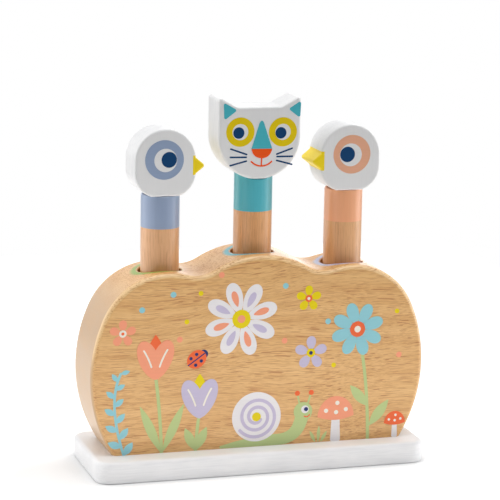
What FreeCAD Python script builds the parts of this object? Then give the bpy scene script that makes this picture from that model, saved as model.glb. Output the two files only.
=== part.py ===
"""Pop up animal toy: three animal pegs that stand on springs in the bores of a wooden block.

Sizes are in millimetres. The frame is +Z up and +X along the block, with the faces of the
animals towards -Y. The origin is the middle of the base plate's underside.
"""
import FreeCAD
import Part
import math
import os
import Sketcher
from FreeCAD import Vector

# Driving sizes: name, millimetres, meaning.
SIZES = [
    ("base_margin_x", 11.4, "base plate beyond the block's foot, each end"),
    ("base_margin_y", 13.25, "base plate beyond the block, front and back"),
    ("base_thickness", 12.5, "base plate"),
    ("base_corner_radius", 9.0, "base plate's corners, seen from above"),
    ("base_edge_radius", 2.5, "base plate's upper edge"),
    ("base_foot_radius", 1.0, "base plate's lower edge"),
    ("block_thickness", 42.0, "block, front to back"),
    ("block_edge_radius", 3.0, "block's front and back edges"),
    ("side_lobe_height", 103.5, "top of the outer lobes above the base plate"),
    ("side_lobe_radius", 40.3, "outer lobes"),
    ("middle_lobe_height", 111.5, "top of the middle lobe above the base plate"),
    ("middle_lobe_radius", 54.0, "middle lobe"),
    ("valley_radius", 20.0, "hollows between the lobes"),
    ("wall_bulge", 4.1, "how far the end walls swell past the outer lobes"),
    ("wall_bulge_drop", 18.7, "from an outer lobe's centre down to the widest place"),
    ("bore_diameter", 25.0, "bores of the block"),
    ("bore_rim_radius", 0.6, "rounded rims of the bores"),
    ("head_gap", 2.1, "clearance between neighbouring heads when they turn"),
    ("peg_diameter", 22.0, "dowels"),
    ("peg_show", 42.0, "dowel that shows above its bore at rest"),
    ("peg_end_radius", 1.5, "lower edge of a dowel"),
    ("peg_top_chamfer", 0.4, "upper edge of the bird dowels"),
    ("head_thickness", 22.0, "heads, front to back"),
    ("head_edge_radius", 1.2, "front and back edges of the heads"),
    ("bird_head_width", 35.4, "bird head without its beak"),
    ("bird_head_height", 37.8, "bird head above its dowel"),
    ("bird_jaw_radius", 14.0, "lower corners of the bird head"),
    ("bird_seat_cut", 0.6, "flat cut off the lowest point of the bird head"),
    ("beak_reach", 5.7, "sharp corner of the beak beyond the side of the bird head"),
    ("beak_root_depth", 4.0, "beak's root inside the bird head"),
    ("beak_tip_drop", 3.3, "beak's tip below the centre of the head's crown"),
    ("beak_rise", 8.0, "upper corner of the beak's root above its tip"),
    ("beak_fall", 7.4, "lower corner of the beak's root below its tip"),
    ("beak_tip_radius", 1.5, "tip of the beak"),
    ("cat_head_width", 48.6, "cat head, and twice its chin radius"),
    ("cat_head_height", 41.0, "cat head from its chin to its crown"),
    ("ear_rise", 6.2, "sharp corner of an ear above the crown"),
    ("ear_width", 11.5, "root of an ear"),
    ("ear_tip_radius", 1.6, "tips of the ears"),
    ("ear_root_radius", 3.0, "hollow between an ear and the crown"),
    ("pin_diameter", 8.0, "wooden pins in the heads"),
    ("pin_length", 24.0, "wooden pins in the heads"),
    ("pin_chamfer", 0.8, "both ends of a pin"),
    ("glue_gap", 0.05, "radial clearance of pins and screws in their holes"),
    ("hole_end_gap", 0.5, "hole past the end of a pin or a screw"),
    ("spring_length", 55.5, "spring at rest under its peg"),
    ("spring_diameter", 20.0, "spring's outside"),
    ("spring_wire", 1.0, "spring's wire"),
    ("spring_turns", 7.25, "spring's coils"),
    ("eye_diameter", 5.8, "outside of the eye at the spring's foot"),
    ("washer_diameter", 10.0, "washers over the eyes"),
    ("washer_bore", 3.8, "hole of a washer"),
    ("washer_thickness", 1.0, "washers over the eyes"),
    ("seat_gap", 0.05, "between spring eye, washer and screw head"),
    ("spring_screw_diameter", 3.5, "screws that hold the springs"),
    ("spring_screw_length", 10.0, "screws that hold the springs, under the head"),
    ("spring_screw_head", 7.0, "screws that hold the springs, head"),
    ("spring_screw_head_height", 2.4, "screws that hold the springs, head"),
    ("spring_screw_head_radius", 1.4, "rounded top of the head"),
    ("base_screw_diameter", 4.0, "screws that hold the base plate"),
    ("base_screw_length", 32.0, "screws that hold the base plate, over all"),
    ("base_screw_head", 8.0, "screws that hold the base plate, head"),
    ("base_screw_recess", 0.4, "head of a base screw below the plate's surface"),
    ("screw_tip_length", 2.5, "tapered end of the screws"),
    ("screw_tip_radius", 0.4, "end of the screws"),
    ("screw_slot_length", 4.4, "cross slots in the screw heads"),
    ("screw_slot_width", 0.9, "cross slots in the screw heads"),
    ("screw_slot_depth", 1.1, "cross slots in the screw heads"),
]

# Derived sizes, worked out from the driving ones.
DERIVED = [
    ("half_thickness", "Sizes.head_thickness / 2"),
    ("cat_half_width", "Sizes.cat_head_width / 2"),
    ("cat_reach", "sqrt(Places.cat_half_width^2 + Places.half_thickness^2)"),
    ("crown_radius", "Sizes.bird_head_width / 2"),
    ("beak_tip_x", "Places.crown_radius + Sizes.beak_reach"),
    ("bird_reach", "sqrt(Places.beak_tip_x^2 + Places.half_thickness^2)"),
    ("bore_spacing", "Places.cat_reach + Places.bird_reach + Sizes.head_gap"),
    ("bore_radius", "Sizes.bore_diameter / 2"),
    ("block_half_width", "Places.bore_spacing + Sizes.side_lobe_radius + Sizes.wall_bulge"),
    ("side_lobe_centre", "Sizes.side_lobe_height - Sizes.side_lobe_radius"),
    ("middle_lobe_centre", "Sizes.middle_lobe_height - Sizes.middle_lobe_radius"),
    ("wall_centre_height", "Places.side_lobe_centre - Sizes.wall_bulge_drop"),
    ("wall_radius", "Sizes.side_lobe_radius + Sizes.wall_bulge / 2"
                    " + Sizes.wall_bulge_drop^2 / (2 * Sizes.wall_bulge)"),
    ("wall_centre_x", "Places.block_half_width - Places.wall_radius"),
    ("foot_half_width", "Places.wall_centre_x"
                        " + sqrt(Places.wall_radius^2 - Places.wall_centre_height^2)"),
    ("base_half_length", "Places.foot_half_width + Sizes.base_margin_x"),
    ("base_half_depth", "Sizes.block_thickness / 2 + Sizes.base_margin_y"),
    ("inner_screw_x", "Places.bore_spacing / 2"),
    ("outer_screw_x", "(Places.bore_spacing + Places.bore_radius + Places.foot_half_width) / 2"),
    ("base_screw_hole", "Sizes.base_screw_diameter + 2 * Sizes.glue_gap"),
    ("base_screw_flare", "(Sizes.base_screw_head - Sizes.base_screw_diameter) / 2"),
    ("countersink", "Places.base_screw_flare + Sizes.base_screw_recess"),
    ("block_hole_depth", "Sizes.base_screw_recess + Sizes.base_screw_length"
                         " - Sizes.base_thickness + Sizes.hole_end_gap"),
    ("spring_foot_height", "Sizes.base_thickness + Sizes.seat_gap"),
    ("washer_height", "Places.spring_foot_height + Sizes.spring_wire + Sizes.seat_gap"),
    ("spring_screw_hole", "Sizes.spring_screw_diameter + 2 * Sizes.glue_gap"),
    ("spring_screw_height", "Places.washer_height + Sizes.washer_thickness + Sizes.seat_gap"),
    ("plate_hole_depth", "Sizes.spring_screw_length + Sizes.hole_end_gap"
                         " + Sizes.base_thickness - Places.spring_screw_height"),
    ("wire_radius", "Sizes.spring_wire / 2"),
    ("coil_radius", "Sizes.spring_diameter / 2 - Places.wire_radius"),
    ("eye_radius", "Sizes.eye_diameter / 2 - Places.wire_radius"),
    ("coil_height", "Sizes.spring_length - 2 * Sizes.seat_gap - Sizes.spring_wire"),
    ("peg_bottom_height", "Sizes.base_thickness + Sizes.spring_length"),
    ("peg_radius", "Sizes.peg_diameter / 2"),
    ("side_peg_length", "Sizes.side_lobe_height + Sizes.peg_show - Sizes.spring_length"),
    ("middle_peg_length", "Sizes.middle_lobe_height + Sizes.peg_show - Sizes.spring_length"),
    ("bird_seat_height", "Places.peg_bottom_height + Places.side_peg_length"),
    ("cat_seat_height", "Places.peg_bottom_height + Places.middle_peg_length"),
    ("middle_blank_length", "Places.middle_peg_length + Places.cat_half_width / 2"),
    ("pin_hole_radius", "Sizes.pin_diameter / 2 + Sizes.glue_gap"),
    ("pin_hole_depth", "Sizes.pin_length / 2 + Sizes.hole_end_gap"),
    ("crown_centre", "Sizes.bird_head_height - Places.crown_radius"),
    ("jaw_centre", "Sizes.bird_jaw_radius - Sizes.bird_seat_cut"),
    ("beak_tip_height", "Places.crown_centre - Sizes.beak_tip_drop"),
    ("beak_root_x", "Places.crown_radius - Sizes.beak_root_depth"),
    ("beak_root_top", "Places.beak_tip_height + Sizes.beak_rise"),
    ("beak_root_bottom", "Places.beak_tip_height - Sizes.beak_fall"),
    ("ear_height", "Sizes.cat_head_height + Sizes.ear_rise"),
    ("ear_root_x", "Places.cat_half_width - Sizes.ear_width"),
]

ORIGIN, X_AXIS, Y_AXIS = (-1, 1), -1, -2   # a sketch's own origin point and axes
START, END, CENTRE = 1, 2, 3               # the points of a sketch's line or arc
BOUND = {"Length", "Width", "Height", "Radius", "Radius1", "Radius2", "Turns"}

# Where the columns and the base plate's screws stand: sizes in X and Y, None on the axis.
COLUMN_PLACES = [("-bore_spacing", None), (None, None), ("bore_spacing", None)]
BASE_SCREW_PLACES = [("-outer_screw_x", None), ("-inner_screw_x", None),
                     ("inner_screw_x", None), ("outer_screw_x", None)]
# One column each: side, place in X, dowel's length, length of its blank, height of its head's seat.
COLUMNS = (("left", "-bore_spacing", "side_peg_length", "side_peg_length", "bird_seat_height"),
           ("middle", None, "middle_peg_length", "middle_blank_length", "cat_seat_height"),
           ("right", "bore_spacing", "side_peg_length", "side_peg_length", "bird_seat_height"))

doc = FreeCAD.newDocument("PopUpToy")
sheet = doc.addObject("Spreadsheet::Sheet", "Sizes")
places = doc.addObject("App::VarSet", "Places")


def fill_sheet():
    """Write the driving sizes to the sheet and bind the derived ones to them."""
    for row, (name, value, meaning) in enumerate(SIZES, start=1):
        sheet.set("A%d" % row, meaning)
        sheet.set("B%d" % row, str(value))
        sheet.setAlias("B%d" % row, name)
    doc.recompute()
    for name, formula in DERIVED:
        places.addProperty("App::PropertyFloat", name, "Derived")
        places.setExpression(name, formula)
    doc.recompute()


DRIVING = {name for name, value, meaning in SIZES}


def size(name):
    """The present value of a driving or a derived size, with its sign; None is zero."""
    if name is None:
        return 0.0
    if name.startswith("-"):
        return -size(name[1:])
    return float(getattr(sheet if name in DRIVING else places, name))


def ref(name):
    """How an expression names a driving or a derived size."""
    if name.startswith("-"):
        return "-" + ref(name[1:])
    return ("Sizes." if name in DRIVING else "Places.") + name


def flat(u, v):
    """A point in a sketch's plane."""
    return Vector(u, v, 0)


def mirrored(point):
    """A sketch point on the other side of the vertical axis."""
    return flat(-point.x, point.y)


def arc(centre, radius, start, end):
    """A counterclockwise arc, with its ends given as points that it starts and ends towards."""
    angles = [math.atan2(point.y - centre.y, point.x - centre.x) for point in (start, end)]
    if angles[1] <= angles[0]:
        angles[1] += 2 * math.pi
    return Part.ArcOfCircle(Part.Circle(centre, Vector(0, 0, 1), radius), *angles)


def upper_meeting(centre_a, radius_a, centre_b, radius_b):
    """The upper one of the two points where two circles cross."""
    line = centre_b - centre_a
    along = (radius_a ** 2 - radius_b ** 2 + line.Length ** 2) / (2 * line.Length)
    across = math.sqrt(radius_a ** 2 - along ** 2)
    unit = line.normalize()
    points = [centre_a + unit * along + flat(-unit.y, unit.x) * side for side in (across, -across)]
    return max(points, key=lambda point: point.y)


class Piece:
    """One sub-part: a body with its sketches and features, placed by named sizes."""

    def __init__(self, label):
        self.body = doc.addObject("PartDesign::Body", label)
        self.body.Label = label

    def place(self, x=None, z=None):
        """Bind the body's place to named sizes."""
        for axis, name in (("x", x), ("z", z)):
            if name:
                self.body.setExpression("Placement.Base." + axis, ref(name))

    def sketch(self, name, role, lift=None):
        """A sketch on one of the body's own origin planes, lifted by a named size."""
        plane = next(item for item in self.body.Origin.OriginFeatures if item.Role == role)
        sketch = self.body.newObject("Sketcher::SketchObject", self.body.Name + "_" + name)
        sketch.AttachmentSupport = [(plane, "")]
        sketch.MapMode = "FlatFace"
        if lift:
            sketch.setExpression("AttachmentOffset.Base.z", ref(lift))
        return sketch

    def feature(self, kind, name, profile=None, **values):
        """A PartDesign feature, with each size given as a name or an expression."""
        feature = self.body.newObject("PartDesign::" + kind, self.body.Name + "_" + name)
        if profile:
            feature.Profile = profile
        for key, value in values.items():
            if key in BOUND:
                feature.setExpression(key, ref(value) if value.isidentifier() else value)
            else:
                setattr(feature, key, value)
        doc.recompute()
        return feature

    def dress(self, kind, name, width, test):
        """A fillet or a chamfer of a named width on the edges so far that pass the test."""
        base = self.body.Tip
        edges = ["Edge%d" % number for number, edge in enumerate(base.Shape.Edges, start=1)
                 if test(edge)]
        feature = self.body.newObject("PartDesign::" + kind, self.body.Name + "_" + name)
        feature.Base = (base, edges)
        feature.setExpression("Radius" if kind == "Fillet" else "Size", ref(width))
        doc.recompute()
        return feature


def bound(sketch, expression, *constraint):
    """Add a dimension whose value is an expression."""
    index = sketch.addConstraint(Sketcher.Constraint(*constraint))
    sketch.setExpression("Constraints[%d]" % index, expression)


def at_point(sketch, item, point, x, y):
    """Hold a point at two sizes from the origin: each a name, "-" and a name, or None on the axis."""
    if x is None and y is None:
        sketch.addConstraint(Sketcher.Constraint("Coincident", item, point, *ORIGIN))
        return
    for kind, name, axis in (("DistanceX", x, Y_AXIS), ("DistanceY", y, X_AXIS)):
        if name is None:
            sketch.addConstraint(Sketcher.Constraint("PointOnObject", item, point, axis))
        elif name.startswith("-"):
            bound(sketch, ref(name[1:]), kind, item, point, *ORIGIN, size(name[1:]))
        else:
            bound(sketch, ref(name), kind, *ORIGIN, item, point, size(name))


def circles(sketch, diameter, centres):
    """Circles of one diameter with their centres at named sizes."""
    for x, y in centres:
        circle = Part.Circle(flat(size(x), size(y)), Vector(0, 0, 1), size(diameter) / 2)
        item = sketch.addGeometry(circle)
        bound(sketch, ref(diameter), "Diameter", item, size(diameter))
        at_point(sketch, item, CENTRE, x, y)


def joined(sketch, items, kind="Coincident"):
    """Join the ends of a chain of pairs: (item, point, item, point)."""
    for pair in items:
        sketch.addConstraint(Sketcher.Constraint(kind, *pair))


def polygon(sketch, corners):
    """A closed outline of straight lines between corners at named sizes."""
    points = [flat(size(x), size(y)) for x, y in corners]
    lines = [sketch.addGeometry(Part.LineSegment(points[number - 1], points[number]))
             for number in range(len(points))]
    for number, line in enumerate(lines):
        joined(sketch, [(lines[number - 1], END, line, START)])
        at_point(sketch, line, END, *corners[number])


def lies_on_faces(edge, half_thickness):
    """Whether an edge runs in the front or the back plane of a flat piece."""
    return all(abs(abs(vertex.Y) - half_thickness) < 1e-6 for vertex in edge.Vertexes)


def across_at(edge, x, z):
    """Whether an edge runs from front to back at a place of a flat piece's outline."""
    start, end = edge.Vertexes[0].Point, edge.Vertexes[-1].Point
    return abs(abs(start.x) - x) < 1e-6 and abs(start.z - z) < 1e-6 and start.x == end.x


def is_bore_rim(edge):
    """Whether an edge of the block is the curved upper rim of a bore."""
    point = edge.valueAt((edge.FirstParameter + edge.LastParameter) / 2)
    radii = [math.hypot(point.x - size(x), point.y) for x, y in COLUMN_PLACES]
    on_bore = any(abs(radius - size("bore_radius")) < 1e-4 for radius in radii)
    return on_bore and point.z > size("side_lobe_centre") and edge.Curve.TypeId != "Part::GeomLine"


def is_circle(edge, radius):
    """Whether an edge is an arc of this radius."""
    return edge.Curve.TypeId == "Part::GeomCircle" and abs(edge.Curve.Radius - radius) < 1e-6


def base_plate():
    """A flat plate with rounded corners, screw holes from below and pilot holes from above."""
    piece = Piece("base_plate")
    outline = piece.sketch("outline", "XY_Plane")
    polygon(outline, [("-base_half_length", "-base_half_depth"), ("base_half_length", "-base_half_depth"),
                      ("base_half_length", "base_half_depth"), ("-base_half_length", "base_half_depth")])
    piece.feature("Pad", "slab", outline, Length="base_thickness")
    piece.dress("Fillet", "corners", "base_corner_radius",
                lambda edge: edge.Vertexes[0].Z != edge.Vertexes[-1].Z)
    piece.dress("Fillet", "upper_edge", "base_edge_radius",
                lambda edge: edge.BoundBox.ZMin > size("base_thickness") - 1e-6)
    piece.dress("Fillet", "lower_edge", "base_foot_radius", lambda edge: edge.BoundBox.ZMax < 1e-6)
    holes = piece.sketch("screw_holes", "XY_Plane")
    circles(holes, "base_screw_hole", BASE_SCREW_PLACES)
    piece.feature("Pocket", "screw_hole", holes, Type="ThroughAll", Reversed=True)
    hole_radius = size("base_screw_hole") / 2
    piece.dress("Chamfer", "countersinks", "countersink",
                lambda edge: edge.BoundBox.ZMax < 1e-6 and is_circle(edge, hole_radius))
    pilots = piece.sketch("pilot_holes", "XY_Plane", "base_thickness")
    circles(pilots, "spring_screw_hole", COLUMN_PLACES)
    piece.feature("Pocket", "pilot_hole", pilots, Length="plate_hole_depth")
    return piece


def block():
    """The thick wooden block: an outline of arcs, rounded edges and three bores right through."""
    piece = Piece("block")
    piece.place(z="base_thickness")
    outline = piece.sketch("outline", "XZ_Plane")
    wall = flat(size("wall_centre_x"), size("wall_centre_height"))
    lobe = flat(size("bore_spacing"), size("side_lobe_centre"))
    middle = flat(0, size("middle_lobe_centre"))
    valley_radius, lobe_radius, middle_radius, wall_radius = (
        size(name) for name in ("valley_radius", "side_lobe_radius", "middle_lobe_radius", "wall_radius"))
    valley = upper_meeting(middle, middle_radius + valley_radius, lobe, lobe_radius + valley_radius)
    foot = flat(size("foot_half_width"), 0)
    wall_end = lobe + (lobe - wall).normalize() * lobe_radius
    lobe_end = lobe + (valley - lobe).normalize() * lobe_radius
    middle_end = middle + (valley - middle).normalize() * middle_radius
    sole, wall_1, lobe_1, valley_1, crown, valley_2, lobe_2, wall_2 = (
        outline.addGeometry(part) for part in (
            Part.LineSegment(mirrored(foot), foot),
            arc(wall, wall_radius, foot, wall_end),
            arc(lobe, lobe_radius, wall_end, lobe_end),
            arc(valley, valley_radius, middle_end, lobe_end),
            arc(middle, middle_radius, middle_end, mirrored(middle_end)),
            arc(mirrored(valley), valley_radius, mirrored(lobe_end), mirrored(middle_end)),
            arc(mirrored(lobe), lobe_radius, mirrored(lobe_end), mirrored(wall_end)),
            arc(mirrored(wall), wall_radius, mirrored(wall_end), mirrored(foot))))
    joined(outline, [(sole, END, wall_1, START), (wall_2, END, sole, START)])
    joined(outline, [(wall_1, END, lobe_1, START), (lobe_1, END, valley_1, END),
                     (valley_1, START, crown, START), (crown, END, valley_2, END),
                     (valley_2, START, lobe_2, START), (lobe_2, END, wall_2, START)], "Tangent")
    joined(outline, [(sole, START, X_AXIS), (sole, END, X_AXIS)], "PointOnObject")
    for item, name in ((lobe_1, "side_lobe_radius"), (lobe_2, "side_lobe_radius"),
                       (valley_1, "valley_radius"), (valley_2, "valley_radius"),
                       (crown, "middle_lobe_radius")):
        bound(outline, ref(name), "Radius", item, size(name))
    at_point(outline, crown, CENTRE, None, "middle_lobe_centre")
    at_point(outline, lobe_1, CENTRE, "bore_spacing", "side_lobe_centre")
    at_point(outline, lobe_2, CENTRE, "-bore_spacing", "side_lobe_centre")
    at_point(outline, wall_1, CENTRE, "wall_centre_x", "wall_centre_height")
    at_point(outline, wall_2, CENTRE, "-wall_centre_x", "wall_centre_height")
    piece.feature("Pad", "slab", outline, Length="block_thickness", SideType="Symmetric")
    piece.dress("Fillet", "edges", "block_edge_radius",
                lambda edge: lies_on_faces(edge, size("block_thickness") / 2) and edge.BoundBox.ZMax > 1e-6)
    bores = piece.sketch("bores", "XY_Plane")
    circles(bores, "bore_diameter", COLUMN_PLACES)
    piece.feature("Pocket", "bore", bores, Type="ThroughAll", Reversed=True)
    piece.dress("Fillet", "rims", "bore_rim_radius", is_bore_rim)
    holes = piece.sketch("screw_holes", "XY_Plane")
    circles(holes, "base_screw_hole", BASE_SCREW_PLACES)
    piece.feature("Pocket", "screw_hole", holes, Length="block_hole_depth", Reversed=True)
    return piece


def peg(side, length, blank_length, x):
    """A dowel with a rounded lower end and a pin hole in its upper one."""
    piece = Piece(side + "_peg")
    piece.place(x, "peg_bottom_height")
    piece.feature("AdditiveCylinder", "dowel", Radius="peg_radius", Height=blank_length)
    piece.dress("Fillet", "lower_end", "peg_end_radius", lambda edge: edge.BoundBox.ZMax < 1e-6)
    if blank_length == length:
        piece.dress("Chamfer", "upper_end", "peg_top_chamfer",
                    lambda edge: edge.BoundBox.ZMin > size(length) - 1e-6)
    else:
        cope(piece, length)
    hole_foot = ref(length) + " - " + ref("pin_hole_depth")
    hole = piece.feature("SubtractiveCylinder", "pin_hole", Radius="pin_hole_radius",
                         Height=ref(blank_length) + " - (" + hole_foot + ")")
    hole.setExpression("Placement.Base.z", hole_foot)
    return piece


def cope(piece, length):
    """Hollow the top of a dowel so that it fits under the cat's round chin."""
    cutter = piece.feature("SubtractiveCylinder", "cope", Height="2 * Sizes.peg_diameter",
                           Radius="Places.cat_half_width + Sizes.glue_gap")
    cutter.Placement.Rotation = FreeCAD.Rotation(Vector(1, 0, 0), 90)
    cutter.setExpression("Placement.Base.y", "Sizes.peg_diameter")
    cutter.setExpression("Placement.Base.z", ref(length) + " + Places.cat_half_width")


def head_pin(side, seat_height, x):
    """A short wooden pin with chamfered ends, half in the head and half in the dowel."""
    piece = Piece(side + "_head_pin")
    piece.place(x)
    piece.body.setExpression("Placement.Base.z", ref(seat_height) + " - Sizes.pin_length / 2")
    piece.feature("AdditiveCylinder", "pin", Radius="Sizes.pin_diameter / 2", Height="pin_length")
    piece.dress("Chamfer", "ends", "pin_chamfer", lambda edge: is_circle(edge, size("pin_diameter") / 2))
    return piece


def head_pin_hole(piece):
    """The pin hole in the underside of a head."""
    piece.feature("SubtractiveCylinder", "pin_hole", Radius="pin_hole_radius", Height="pin_hole_depth")


def bird_head(side, facing, x):
    """A flat egg of a head with a pointed beak; facing is "" for +X and "-" for -X."""
    piece = Piece(side + "_bird_head")
    piece.place(x, "bird_seat_height")
    outline = piece.sketch("outline", "XZ_Plane")
    crown_radius, jaw_radius = size("crown_radius"), size("bird_jaw_radius")
    crown, jaw = flat(0, size("crown_centre")), flat(crown_radius - jaw_radius, size("jaw_centre"))
    seat = flat(jaw.x + math.sqrt(jaw_radius ** 2 - jaw.y ** 2), 0)
    jaw_end = flat(crown_radius, jaw.y)
    crown_end = flat(crown_radius, crown.y)
    base, jaw_1, cheek_1, top, cheek_2, jaw_2 = (
        outline.addGeometry(part) for part in (
            Part.LineSegment(mirrored(seat), seat),
            arc(jaw, jaw_radius, seat, jaw_end),
            Part.LineSegment(jaw_end, crown_end),
            arc(crown, crown_radius, crown_end, mirrored(crown_end)),
            Part.LineSegment(mirrored(crown_end), mirrored(jaw_end)),
            arc(mirrored(jaw), jaw_radius, mirrored(jaw_end), mirrored(seat))))
    joined(outline, [(base, END, jaw_1, START), (jaw_2, END, base, START)])
    joined(outline, [(jaw_1, END, cheek_1, START), (cheek_1, END, top, START),
                     (top, END, cheek_2, START), (cheek_2, END, jaw_2, START)], "Tangent")
    joined(outline, [(base, START, X_AXIS), (base, END, X_AXIS)], "PointOnObject")
    joined(outline, [(cheek_1,), (cheek_2,)], "Vertical")
    for item, name in ((jaw_1, "bird_jaw_radius"), (jaw_2, "bird_jaw_radius"), (top, "crown_radius")):
        bound(outline, ref(name), "Radius", item, size(name))
    at_point(outline, top, CENTRE, None, "crown_centre")
    for item in (jaw_1, jaw_2):
        bound(outline, ref("jaw_centre"), "DistanceY", *ORIGIN, item, CENTRE, size("jaw_centre"))
    piece.feature("Pad", "slab", outline, Length="head_thickness", SideType="Symmetric")
    beak = piece.sketch("beak_outline", "XZ_Plane")
    polygon(beak, [(facing + "beak_root_x", "beak_root_top"), (facing + "beak_root_x", "beak_root_bottom"),
                   (facing + "beak_tip_x", "beak_tip_height")])
    piece.feature("Pad", "beak", beak, Length="head_thickness", SideType="Symmetric")
    piece.dress("Fillet", "beak_tip", "beak_tip_radius",
                lambda edge: across_at(edge, size("beak_tip_x"), size("beak_tip_height")))
    piece.dress("Fillet", "edges", "head_edge_radius",
                lambda edge: lies_on_faces(edge, size("half_thickness")))
    head_pin_hole(piece)
    return piece


def cat_head():
    """A flat head with a round chin and two pointed ears."""
    piece = Piece("cat_head")
    piece.place(z="cat_seat_height")
    outline = piece.sketch("outline", "XZ_Plane")
    half, top = size("cat_half_width"), size("cat_head_height")
    cheek, ear, root = flat(half, half), flat(half, size("ear_height")), flat(size("ear_root_x"), top)
    chin, cheek_1, ear_1, crown, ear_2, cheek_2 = (
        outline.addGeometry(part) for part in (
            arc(flat(0, half), half, mirrored(cheek), cheek),
            Part.LineSegment(cheek, ear),
            Part.LineSegment(ear, root),
            Part.LineSegment(root, mirrored(root)),
            Part.LineSegment(mirrored(root), mirrored(ear)),
            Part.LineSegment(mirrored(ear), mirrored(cheek))))
    joined(outline, [(cheek_1, END, ear_1, START), (ear_1, END, crown, START),
                     (crown, END, ear_2, START), (ear_2, END, cheek_2, START)])
    joined(outline, [(chin, END, cheek_1, START), (cheek_2, END, chin, START)], "Tangent")
    joined(outline, [(cheek_1,), (cheek_2,)], "Vertical")
    bound(outline, ref("cat_half_width"), "Radius", chin, half)
    at_point(outline, chin, CENTRE, None, "cat_half_width")
    for item in (ear_1, cheek_2):
        bound(outline, ref("ear_height"), "DistanceY", *ORIGIN, item, START, ear.y)
    at_point(outline, crown, START, "ear_root_x", "cat_head_height")
    at_point(outline, crown, END, "-ear_root_x", "cat_head_height")
    piece.feature("Pad", "slab", outline, Length="head_thickness", SideType="Symmetric")
    piece.dress("Fillet", "ear_tips", "ear_tip_radius", lambda edge: across_at(edge, half, ear.y))
    piece.dress("Fillet", "ear_roots", "ear_root_radius", lambda edge: across_at(edge, root.x, top))
    piece.dress("Fillet", "edges", "head_edge_radius",
                lambda edge: lies_on_faces(edge, size("half_thickness")))
    head_pin_hole(piece)
    return piece


def spring(side, x):
    """A wire spring: the coils, and a foot that runs in to an open eye for a screw."""
    piece = Piece(side + "_spring")
    piece.place(x, "spring_foot_height")
    wire = piece.sketch("wire", "XZ_Plane")
    circles(wire, "spring_wire", [("coil_radius", "wire_radius")])
    piece.feature("AdditiveHelix", "coils", wire, ReferenceAxis=(wire, ["V_Axis"]),
                  Mode="height-turns-angle", Height="coil_height", Turns="spring_turns")
    path = piece.sketch("foot_path", "XY_Plane", "wire_radius")
    eye_radius, coil_radius = size("eye_radius"), size("coil_radius")
    middle = flat(coil_radius - eye_radius, 0)
    eye_end, bend_start = flat(0, -eye_radius), flat(middle.x, -eye_radius)
    eye, arm, bend = (path.addGeometry(part) for part in (
        arc(flat(0, 0), eye_radius, flat(eye_radius, 0), eye_end),
        Part.LineSegment(eye_end, bend_start),
        arc(middle, eye_radius, bend_start, flat(coil_radius, 0))))
    joined(path, [(eye, END, arm, START), (arm, END, bend, START)], "Tangent")
    joined(path, [(arm,)], "Horizontal")
    joined(path, [(eye, START, X_AXIS), (bend, CENTRE, X_AXIS)], "PointOnObject")
    bound(path, ref("eye_radius"), "Radius", eye, eye_radius)
    at_point(path, eye, CENTRE, None, None)
    at_point(path, bend, END, "coil_radius", None)
    piece.feature("AdditivePipe", "foot", wire, Spine=(path, ["Edge1", "Edge2", "Edge3"]))
    return piece


def spring_washer(side, x):
    """A flat washer over the eye of a spring."""
    piece = Piece(side + "_spring_washer")
    piece.place(x, "washer_height")
    piece.feature("AdditiveCylinder", "disc", Radius="Sizes.washer_diameter / 2", Height="washer_thickness")
    piece.feature("SubtractiveCylinder", "hole", Radius="Sizes.washer_bore / 2", Height="washer_thickness")
    return piece


def spring_screw(side, x):
    """A pan head wood screw that points down into the base plate."""
    piece = Piece(side + "_spring_screw")
    piece.place(x, "spring_screw_height")
    piece.feature("AdditiveCylinder", "head", Radius="Sizes.spring_screw_head / 2",
                  Height="spring_screw_head_height")
    piece.dress("Fillet", "head_edge", "spring_screw_head_radius",
                lambda edge: edge.BoundBox.ZMin > size("spring_screw_head_height") - 1e-6)
    shank = piece.feature("AdditiveCylinder", "shank", Radius="Sizes.spring_screw_diameter / 2",
                          Height="Sizes.spring_screw_length - Sizes.screw_tip_length")
    shank.setExpression("Placement.Base.z", "Sizes.screw_tip_length - Sizes.spring_screw_length")
    tip = piece.feature("AdditiveCone", "tip", Radius1="screw_tip_radius", Height="screw_tip_length",
                        Radius2="Sizes.spring_screw_diameter / 2")
    tip.setExpression("Placement.Base.z", "-Sizes.spring_screw_length")
    cross_slots(piece, "Sizes.spring_screw_head_height - Sizes.screw_slot_depth")
    return piece


def cross_slots(piece, foot):
    """Two crossing slots for a screwdriver, from a height upwards."""
    for name, along, across in (("slot_x", "Length", "Width"), ("slot_y", "Width", "Length")):
        slot = piece.feature("SubtractiveBox", name, Height="screw_slot_depth",
                             **{along: "screw_slot_length", across: "screw_slot_width"})
        for axis, side in (("x", "Length"), ("y", "Width")):
            width = "screw_slot_length" if side == along else "screw_slot_width"
            slot.setExpression("Placement.Base." + axis, "-Sizes." + width + " / 2")
        slot.setExpression("Placement.Base.z", foot)


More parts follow.
